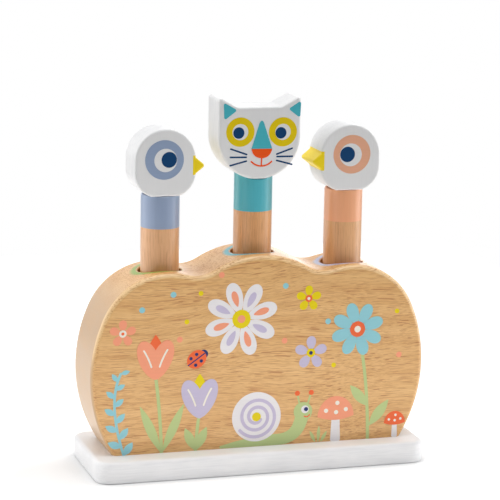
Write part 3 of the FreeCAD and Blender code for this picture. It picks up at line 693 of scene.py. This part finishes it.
def spring_path(x):
    """A spring's wire as one line: open eye, arm, bend, and coils that rise to the peg."""
    eye = arc(x, EYE_RADIUS, 0, 270, 24)
    bend = arc(x + COIL_RADIUS - EYE_RADIUS, EYE_RADIUS, -90, 90, 8)
    rise = SPRING_TOP - PLATE_TOP - 2 * WIRE_LIFT - 2 * WIRE_RADIUS
    coils = arc(x, COIL_RADIUS, 0, 360 * COIL_TURNS, round(COIL_TURNS * 48), rise)
    foot = Vector((0, 0, PLATE_TOP + WIRE_LIFT + WIRE_RADIUS))
    return [point + foot for point in eye + bend + coils[1:]]


def make_spring(side, material):
    """A coil spring from its open eye on the plate up to its peg, riding on its washer."""
    name = side + "_coil_spring"
    points = spring_path(PEG_X[side])
    data = bpy.data.meshes.new(name)
    data.from_pydata(points, [(index, index + 1) for index in range(len(points) - 1)], [])
    mesh = grown(name, data, BENT_WIRE, material, Wire_Radius=WIRE_RADIUS, Sides=14)
    piece = new_piece(name, mesh, material, side + "_washer")
    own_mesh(piece)
    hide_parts(side + "_spring")


# -------- painted rims of the bores


def make_rim_paint(side, surface):
    """A painted ring round a bore that lies on the block's wavy top and thins out at its outer edge."""
    rows, steps = 6, 96
    mesh = bmesh.new()
    tops, feet = [], []
    for row in range(rows + 1):
        share = row / rows
        proud = INK * (1 - RIM_THINNING * share)
        places = arc(PEG_X[side] + RIM_SHIFT * share, RIM_INNER + RIM_WIDTH * share, 0, 360, steps)[:-1]
        hits = [surface.ray_cast(place + OVERHEAD, -OVERHEAD)[:2] for place in places]
        tops.append([mesh.verts.new(spot + normal * proud) for spot, normal in hits])
        feet.append([mesh.verts.new(spot - normal * INK_ROOT) for spot, normal in hits])
    for step in range(steps):
        for row in range(rows):
            for inner, outer in ((tops[row], tops[row + 1]), (feet[row], feet[row + 1])):
                mesh.faces.new((inner[step - 1], outer[step - 1], outer[step], inner[step]))
        for row in (0, rows):
            top, foot = tops[row], feet[row]
            mesh.faces.new((top[step - 1], top[step], foot[step], foot[step - 1]))
    bmesh.ops.recalc_face_normals(mesh, faces=mesh.faces)
    data = bpy.data.meshes.new(side + "_rim_paint")
    mesh.to_mesh(data)
    mesh.free()
    new_piece(side + "_rim_paint", data, rim_paint(side), "block")


# -------- the animals' faces, in millimetres from the peg's axis and the chin


def make_eye(name, body, place, discs):
    """An eye of discs painted one over the other: (name, radius, x, z, material)."""
    for coats, (part, radius, x, z, material) in enumerate(discs):
        painted("%s_%s" % (name, part), [disc(radius, (x, z))], material, body, place, coats)


def make_bird_face(side, towards, ring):
    """A bird's one big eye, which looks towards its beak."""
    place = facing_front(PEG_X[side], HEAD_FRONT, BIRD_CHIN)
    make_eye(side + "_bird_eye", side + "_peg", place, [
        ("ring", 11.15, -0.7 * towards, 20.8, ring),
        ("white", 6.6, 0, 20.5, ink("chalk")),
        ("pupil", 4.45, 2.0 * towards, 20.8, ink("indigo"))])


def make_cat_face():
    """The cat's eyes, ears, nose, smile and whiskers."""
    place = facing_front(PEG_X["middle"], HEAD_FRONT, CAT_CHIN)
    body = "middle_peg"
    teal, indigo, red = ink("teal"), ink("indigo"), ink("vermilion")

    def cat(part, outlines, material, coats=0):
        painted("cat_" + part, outlines, material, body, place, coats)

    for side, x, z, pupil_x in (("left", -11.5, 27.3, -12.4), ("right", 13.6, 26.8, 12.4)):
        make_eye("cat_%s_eye" % side, body, place, [
            ("ring", 8.3, x, z, ink("face_mustard")),
            ("white", 4.6, x, z, ink("chalk")),
            ("pupil", 3.25, pupil_x, z - 0.5, indigo)])
    for side, ear in (("left", [(-21.5, 44.2), (-13.4, 39.7), (-21.0, 34.0)]),
                      ("right", [(24.1, 44.4), (23.7, 34.4), (16.7, 39.8)])):
        cat(side + "_inner_ear", [softened(ear, 0.9)], teal)
    left, foot, right = (-4.8, 17.6), (1.3, 12.1), (7.4, 17.4)
    cat("nose_bridge", [[left] + bow((-0.4, 31.8), (1.1, 35.2), (2.5, 31.7), 8) + [right]], teal, 3)
    cat("nose", [bow(left, (-3.9, 12.4), foot, 10) + bow(foot, (6.4, 12.2), right, 10)[1:]], red, 4)
    lip = (1.2, 7.7)
    cat("lip", [stroke([(1.3, 12.6), lip], 0.8)], red)
    smile = bow((-4.8, 10.3), (-2.2, 7.8), lip, 8) + bow(lip, (4.6, 7.6), (7.2, 10.1), 8)[1:]
    cat("smile", [stroke(smile, 0.85)], red, 1)
    whiskers = [((-16.9, 17.8), (-7.6, 14.5)), ((-17.1, 13.1), (-7.8, 12.9)),
                ((-17.1, 8.4), (-7.7, 10.7)), ((19.3, 17.3), (10.2, 14.2)),
                ((19.5, 12.7), (10.4, 12.8)), ((19.2, 8.1), (10.2, 10.6))]
    cat("whiskers", [stroke(ends, 0.9) for ends in whiskers], indigo)


# -------- the printed garden, in millimetres from the block's middle and the table


def garden(name, outlines, material, x, z, coats=0, tree=None, **inputs):
    """A printed motif on the block's front, alone or repeated by a tree."""
    data = coat_mesh(name, outlines, coats)
    if tree:
        data = grown(name, data, tree, material, **inputs)
    data.transform(facing_front(mm(x), BLOCK_FRONT, mm(z)))
    new_piece(name, data, material, "block")


def garden_dots(name, places, radius, material, coats=0):
    """Round dots of one size at places on the block's front."""
    data = bpy.data.meshes.new(name)
    data.from_pydata([mm(x, z, 0) for x, z in places], [], [])
    data = grown(name, data, DOTS, material, Radius=mm(radius), Height=INK + coats * COAT)
    data.transform(facing_front(0, BLOCK_FRONT, 0))
    new_piece(name, data, material, "block")


def daisy(name, x, z, colours, length, width, heart, petals=5, coats=0):
    """A daisy: a ring of petals, a round heart and a dot in it."""
    petal_ink, heart_ink, dot_ink = colours
    garden(name + "_petals", [petal(length, width, heart * 0.55, 0.62)], petal_ink, x, z, coats,
           RING_OF_PETALS, Petals=petals, First_Turn=0.3)
    garden_dots(name + "_heart", [(x, z)], heart, heart_ink, coats + 2)
    garden_dots(name + "_dot", [(x, z)], heart * 0.42, dot_ink, coats + 3)


def sprig(name, start, bend, end, sprig_ink, leaves, length, width):
    """A bowed stem with leaves on both sides, given by places on the block's front."""
    places = [Vector(place) - Vector(start) for place in (start, bend, end)]
    garden(name + "_stem", [stroke(bow(*places), 1.5)], sprig_ink, *start, 1)
    first, middle, last = (mm(*place, 0) for place in places)
    garden(name + "_leaves", [leaf(length, width)], sprig_ink, *start, 0, LEAVES_ON_STEM,
           Start=first, Bend=middle, End=last, Leaves=leaves, Lean=0.9, Tip_Share=0.6)


def tulip(name, x, foot, colours, height, tilt):
    """A tulip that grows from the plate: a stem, two long leaves and a head with three points."""
    outer_ink, inner_ink, stem_ink, vein_ink = colours
    blades = [moved(leaf(height * 0.66, 5.4), side * 0.5, 0.4, 90 - side * 24) for side in (-1, 1)]
    garden(name + "_blades", blades, stem_ink, x, foot)
    garden(name + "_stem", [stroke(bow((0, 0), (tilt * 0.2, height * 0.5), (tilt, height)), 1.9)],
           stem_ink, x, foot, 1)
    garden(name + "_inner_lobe", [moved(leaf(26, 11), tilt, height - 3, 90)], inner_ink, x, foot, 2)
    for coats, side in ((3, -1), (4, 1)):
        lobe = moved(petal(24, 12.4, 0, 0.8), tilt - side * 0.6, height - 3, 90 - side * 21)
        garden("%s_lobe_%d" % (name, coats), [lobe], outer_ink, x, foot, coats)
    veins = [stroke(bow((tilt + side * 2.4, height + 4.5), (tilt + side * 4.0, height + 9.5),
                        (tilt + side * 6.8, height + 14)), 1.0) for side in (-1, 1)]
    garden(name + "_veins", veins, vein_ink, x, foot, 5)


def toadstool(name, x, foot, colours, width, height):
    """A toadstool with a domed, dotted cap."""
    cap_ink, stalk_ink, dot_ink = colours
    stalk = softened([(-width * 0.14, 0), (width * 0.14, 0), (width * 0.09, height),
                      (-width * 0.09, height)], 1)
    garden(name + "_stalk", [stalk], stalk_ink, x, foot)
    rise = height * 0.5
    dome = [(width / 2 * math.cos(math.pi * step / 30), rise * math.sin(math.pi * step / 30))
            for step in range(31)]
    cap = dome + bow((-width / 2, 0), (0, -width * 0.2), (width / 2, 0), 12)[1:-1]
    garden(name + "_cap", [moved(cap, 0, height * 0.62)], cap_ink, x, foot, 1)
    spots = [(-0.27, 0.30), (0.04, 0.66), (0.28, 0.32), (0.01, 0.20)]
    garden_dots(name + "_spots", [(x + width * u, foot + height * 0.62 + rise * v) for u, v in spots],
                width * 0.058, dot_ink, 2)


def snail(x, foot, body_ink, shell_ink, spiral_ink):
    """A snail that creeps to the right along the plate."""
    sole = [(-25, 1.0), (-16, 2.0), (-6, 2.9), (4, 3.3)]
    neck = bow((9, 3.4), (21.5, 3.2), (23.5, 17))
    widths = [1.6, 3.8, 5.6, 6.4] + [6.6 + 0.1 * index for index in range(len(neck))]
    garden("snail_body", [stroke(sole + neck, widths)], body_ink, x, foot)
    garden("snail_feelers", [stroke([(22.4, 21), (20.4, 30)], 1.0), stroke([(26, 21), (28.8, 30)], 1.0)],
           body_ink, x, foot, 1)
    brick = ink("brick")
    garden_dots("snail_feeler_tips", [(x + 20.4, foot + 30), (x + 28.8, foot + 30)], 1.5, brick, 2)
    garden_dots("snail_head", [(x + 24, foot + 19)], 5.6, body_ink, 2)
    garden_dots("snail_eye", [(x + 25.2, foot + 20.2)], 2.3, ink("print_chalk"), 3)
    garden_dots("snail_pupil", [(x + 25.8, foot + 20.3)], 1.25, ink("navy"), 4)
    smile = stroke(bow((24.8, 16.2), (26.6, 14.9), (28.0, 16.8), 8), 0.7)
    garden("snail_smile", [smile], brick, x, foot, 3)
    garden_dots("snail_shell", [(x - 4, foot + 17.6)], 14.6, shell_ink, 1)
    turns, steps = 2.3, 96
    spiral = []
    for step in range(steps + 1):
        turn = -2 * math.pi * turns * step / steps - 0.6
        reach = 3.0 + 9.4 * step / steps
        spiral.append((-4 + reach * math.cos(turn), 17.6 + reach * math.sin(turn)))
    garden("snail_spiral", [stroke(spiral, 1.9)], spiral_ink, x, foot, 2)
    garden_dots("snail_shell_middle", [(x - 4, foot + 17.6)], 2.6, ink("mustard"), 3)


def ladybird(x, z, turn):
    """A ladybird seen from above."""
    navy, brick = ink("navy"), ink("brick")
    garden("ladybird_head", [moved(disc(2.6, (5.0, 0), 32), 0, 0, turn)], navy, x, z)
    garden("ladybird_wings", [moved(ellipse(12, 10), 0, 0, turn)], brick, x, z, 1)
    spots = [disc(1.0, (ahead, aside), 20) for ahead in (-2.4, 1.6) for aside in (2.4, -2.4)]
    marks = [stroke([(-5.9, 0), (5.6, 0)], 0.7)] + spots
    garden("ladybird_marks", [moved(mark, 0, 0, turn) for mark in marks], navy, x, z, 2)


def stemmed_daisy(name, x, foot, colours, stem_ink, head, tilt, **sizes):
    """A daisy on a stem with two leaves: its head's height over the foot, its tilt, its sizes."""
    blades = [moved(leaf(19, 6.2), 0.6, head * 0.12, 52), moved(leaf(17, 5.8), -0.6, head * 0.3, 130)]
    garden(name + "_blades", blades, stem_ink, x, foot)
    garden(name + "_stem", [stroke(bow((0, 0), (tilt * 0.1, head * 0.6), (tilt, head)), 1.9)],
           stem_ink, x, foot, 1)
    daisy(name, x + tilt, foot + head, colours, coats=2, **sizes)


def grass(name, x, foot, grass_ink, size):
    """A tuft of three blades."""
    blades = [moved(leaf(size * reach, size * 0.2), place * size * 0.16, 0, 90 + lean)
              for place, lean, reach in ((-1, 26, 0.8), (0, -3, 1.0), (1, -30, 0.75))]
    garden(name, blades, grass_ink, x, foot)


def print_garden():
    """The print on the block's front: flowers, toadstools, a snail, a ladybird, a sprig and dots."""
    coral, brick, sky, lilac, leafy = (ink(name) for name in ("coral", "brick", "sky", "lilac", "leaf"))
    mustard, chalk, cream, navy = (ink(name) for name in ("mustard", "print_chalk", "cream", "navy"))
    foot = PLATE_TOP * 1000
    daisy("big_daisy", -12, 88, (chalk, mustard, coral), petals=8, length=19, width=11.2, heart=5.4)
    for number, drop_ink in enumerate((coral, lilac)):
        garden("big_daisy_drops_%d" % (number + 1), [petal(9.5, 4.6, 7.5, 0.62)], drop_ink, -12, 88, 1,
               RING_OF_PETALS, Petals=4, First_Turn=0.3 + number * math.pi / 4)
    tulip("tall_tulip", -58, foot, (coral, brick, leafy, cream), height=46, tilt=-4)
    tulip("low_tulip", -38, foot, (lilac, mustard, leafy, cream), height=22, tilt=2)
    snail(2, foot, leafy, chalk, lilac)
    stemmed_daisy("sky_daisy", 66, foot, (sky, brick, cream), leafy, head=66, tilt=-8,
                  petals=8, length=13.5, width=8.6, heart=4.6)
    toadstool("toadstool", 46, foot, (coral, chalk, cream), width=22, height=24)
    toadstool("small_toadstool", 82.5, foot, (brick, chalk, cream), width=13, height=14)
    sprig("left_sprig", (-80, foot), (-90, 44), (-82, 60), sky, leaves=11, length=9, width=4.4)
    daisy("lilac_flower", 30, 66, (lilac, mustard, navy), length=8.4, width=6.8, heart=2.6)
    daisy("coral_flower", -81, 83, (coral, cream, brick), length=6.6, width=5.6, heart=2.1)
    daisy("mustard_flower", 28, 98, (mustard, brick, cream), length=6.4, width=5.4, heart=2.1)
    ladybird(-38, 66, turn=35)
    grass("grass", 35.5, foot, leafy, size=10)
    garden_dots("coral_dots", [(-24, 114), (14, 74), (84, 62), (-48, 78)], 1.7, coral)
    garden_dots("sky_dots", [(-52, 104), (14, 106), (40, 84), (-70, 96)], 1.7, sky)
    garden_dots("mustard_dots", [(-36, 104), (44, 58), (82, 88), (-44, 88)], 1.4, mustard)


# -------- dress the toy


def wear(node, material):
    """Give a CAD node its finish."""
    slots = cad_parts[node].data.materials
    for index in range(len(slots)):
        slots[index] = material


def dress():
    """Put the finishes on the CAD nodes, and add the springs, paints and prints."""
    zinc, wire = steel("zinc_steel", ZINC, 0.28), steel("spring_wire", SPRING_WIRE, 0.2)
    wear("block", block_wood())
    wear("base_plate", white_paint("white_plate_paint", PLATE_WHITE, "X", "Z"))
    wear("cat_head", white_paint("white_cat_paint", WHITE, "Z", "Y"))
    wear("base_screws", zinc)
    wear("left_bird_head", bird_paint("left", 1))
    wear("right_bird_head", bird_paint("right", -1))
    surface = BVHTree.FromObject(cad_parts["block"], bpy.context.evaluated_depsgraph_get())
    for side, chin, collar in (("left", BIRD_CHIN, PERIWINKLE), ("middle", CAT_CHIN, TEAL),
                               ("right", BIRD_CHIN, PEACH)):
        dowel = dowel_wood(side, collar, chin - COLLAR_HEIGHT)
        wear(side + "_peg", dowel)
        wear(side + "_head_pin", dowel)
        wear(side + "_spring_washer", zinc)
        wear(side + "_spring_screw", zinc)
        make_spring(side, wire)
        make_rim_paint(side, surface)
    make_bird_face("left", 1, ink("periwinkle"))
    make_bird_face("right", -1, ink("pale_peach"))
    make_cat_face()
    print_garden()


# -------- studio

CAMERA_AZIMUTH = math.radians(17.32)     # turned towards the block's left end
CAMERA_ELEVATION = math.radians(11.39)
CAMERA_ROLL = math.radians(1.06)
CAMERA_DISTANCE = mm(1301.58)
CAMERA_AIM = mm(0, 0, 90)
CAMERA_SLIDE = (mm(-0.48), mm(32.54))    # sideways and upwards, square to the view
CAMERA_LENS, CAMERA_SENSOR = 162.75, 36.0


def make_camera():
    """The camera at the studio's viewing angle."""
    turn, rise, roll = CAMERA_AZIMUTH, CAMERA_ELEVATION, CAMERA_ROLL
    back = Vector((-math.sin(turn) * math.cos(rise), -math.cos(turn) * math.cos(rise), math.sin(rise)))
    level = Vector((math.cos(turn), -math.sin(turn), 0))
    upright = back.cross(level)
    right = level * math.cos(roll) + upright * math.sin(roll)
    above = upright * math.cos(roll) - level * math.sin(roll)
    place = CAMERA_AIM + back * CAMERA_DISTANCE + right * CAMERA_SLIDE[0] + above * CAMERA_SLIDE[1]
    lens = bpy.data.cameras.new("studio_camera")
    lens.lens, lens.sensor_width = CAMERA_LENS, CAMERA_SENSOR
    lens.clip_start, lens.clip_end = 0.01, 50
    camera = new_object("studio_camera", lens)
    camera.matrix_world = Matrix.Translation(place) @ Matrix((right, above, back)).transposed().to_4x4()
    bpy.context.scene.camera = camera


FLOOR_LEFT, FLOOR_RIGHT = mm(-700), mm(360)
FLOOR_NEAR, FLOOR_FAR = mm(-360), mm(600)
FLOOR_TOP = mm(-0.15)
FLOOR_GLOW = 0.71              # the floor's painted glow, which lights the toy from below, except close to the toy where painted contact shadow takes it away
FLOOR_SHADE_REACH = mm(25)
SHADE_SPOT = mm(-118, -12, 0)  # a faint painted shadow on the floor, left of the plate
SHADE_DEPTH = 0.76             # share of the glow that it takes away
TENT_FRONT, TENT_SIDE, TENT_BACK, TENT_BELOW = 0.02, 0.85, 0.6, 0.15
TENT_SHEEN = 3.0               # the tent's brightest sheets, which only show as sheen on the toy


def make_floor():
    """A plain pale floor that glows and so lights the toy from below, with painted contact shadow round
    the toy and a painted shadow left of the plate.
    """
    data = bpy.data.meshes.new("studio_floor")
    data.from_pydata([(FLOOR_LEFT, FLOOR_NEAR, FLOOR_TOP), (FLOOR_RIGHT, FLOOR_NEAR, FLOOR_TOP),
                      (FLOOR_RIGHT, FLOOR_FAR, FLOOR_TOP), (FLOOR_LEFT, FLOOR_FAR, FLOOR_TOP)],
                     [], [(0, 1, 2, 3)])
    material, tree, shader = new_material("studio_floor", Roughness=0.8, Specular_IOR_Level=0.0,
                                          Emission_Strength=FLOOR_GLOW)
    film = use(tree, PAINT_FILM, lying(tree), Paint=FLOOR_LIGHT, Shade=FLOOR_DARK, Clouding=0.3)
    tree.links.new(film["Colour"], shader.inputs["Base Color"])
    # painted contact shadow: the glow fades where the toy closes off the sky near the floor; the glow is
    # stronger towards the front
    open_sky = add(tree, "ShaderNodeAmbientOcclusion", {"Distance": FLOOR_SHADE_REACH}, samples=8)
    nearer = ramped(tree, axis_of(tree, "Y"), mm(150), mm(-50))
    glow_with_contact_shadow = times(tree, ramped(tree, open_sky.outputs["AO"], 0.63, 1.02),
                      calc(tree, "MULTIPLY_ADD", nearer, 0.6, 0.4))
    # painted shadow: a soft round spot left of the plate where the glow is taken away
    here = add(tree, "ShaderNodeTexCoord").outputs["Object"]
    off_spot = vector_calc(tree, "DISTANCE", here, SHADE_SPOT)["Value"]
    in_shadow_spot = ramped(tree, off_spot, mm(65), mm(20))
    glow_less_painted_shadows = times(tree, glow_with_contact_shadow, calc(tree, "MULTIPLY_ADD", in_shadow_spot, -SHADE_DEPTH, 1.0))
    tree.links.new(glow_less_painted_shadows, shader.inputs["Emission Color"])
    data.materials.append(material)
    floor = new_object("studio_floor", data)


def make_surround():
    """A white studio tent, dark round the camera and bright at the sides, and plain white to the eye."""
    world = bpy.data.worlds.new("studio_tent")
    bpy.context.scene.world = world
    world.use_nodes = True
    tree = world.node_tree
    sky = tree.nodes["Background"]
    towards = add(tree, "ShaderNodeTexCoord").outputs["Generated"]
    parts = add(tree, "ShaderNodeSeparateXYZ", {0: towards}).outputs
    height = parts["Z"]
    away = (math.sin(CAMERA_AZIMUTH), math.cos(CAMERA_AZIMUTH), 0)
    depth = vector_calc(tree, "DOT_PRODUCT", towards, away)["Value"]
    rays = add(tree, "ShaderNodeLightPath").outputs
    low_behind = times(tree, ramped(tree, depth, 0.8, 0.97), ramped(tree, height, 0.3, 0.05))
    overhead = times(tree, ramped(tree, height, 0.2, 1.0), 0.6)
    left_depth = times(tree, ramped(tree, depth, -0.35, 0.05), ramped(tree, depth, 0.65, 0.45))
    left_sheet = times(tree, ramped(tree, parts["X"], -0.6, -0.8), left_depth)
    beside = times(tree, left_sheet, 0.9)
    sheets = calc(tree, "MAXIMUM", calc(tree, "MAXIMUM", low_behind, overhead), beside)
    sides, behind = ramped(tree, depth, -0.8, -0.1), ramped(tree, depth, 0.3, 0.9)
    nearer = calc(tree, "MULTIPLY_ADD", sides, TENT_SIDE - TENT_FRONT, TENT_FRONT)
    cloth = calc(tree, "MULTIPLY_ADD", behind, TENT_BACK - TENT_SIDE, nearer)
    upper = blended(tree, times(tree, rays["Is Glossy Ray"], sheets), cloth, TENT_SHEEN)
    glow = blended(tree, ramped(tree, height, -0.02, -0.25), upper, TENT_BELOW)
    strength = blended(tree, rays["Is Camera Ray"], glow, 1.0)
    sky.inputs["Color"].default_value = (1, 1, 1, 1)
    tree.links.new(strength, sky.inputs["Strength"])


def soft_lamp(name, towards, spread, strength):
    """A wide even lamp far away, which shines towards a direction; its spread is in degrees."""
    lamp = bpy.data.lights.new(name, "SUN")
    lamp.energy, lamp.angle = strength, math.radians(spread)
    new_object(name, lamp).rotation_euler = Vector(towards).to_track_quat("-Z", "Y").to_euler()


def light_the_studio():
    """Wide lamps: one above and one at each side."""
    soft_lamp("top_lamp", towards=(0, 0.2, -1), spread=35, strength=0.82)
    soft_lamp("left_lamp", towards=(1, -0.25, -0.52), spread=50, strength=0.73)
    soft_lamp("right_lamp", towards=(-1, 0.06, -0.12), spread=50, strength=0.9)
    bpy.context.scene.view_settings.view_transform = "Standard"


dress()
make_camera()
make_floor()
make_surround()
light_the_studio()
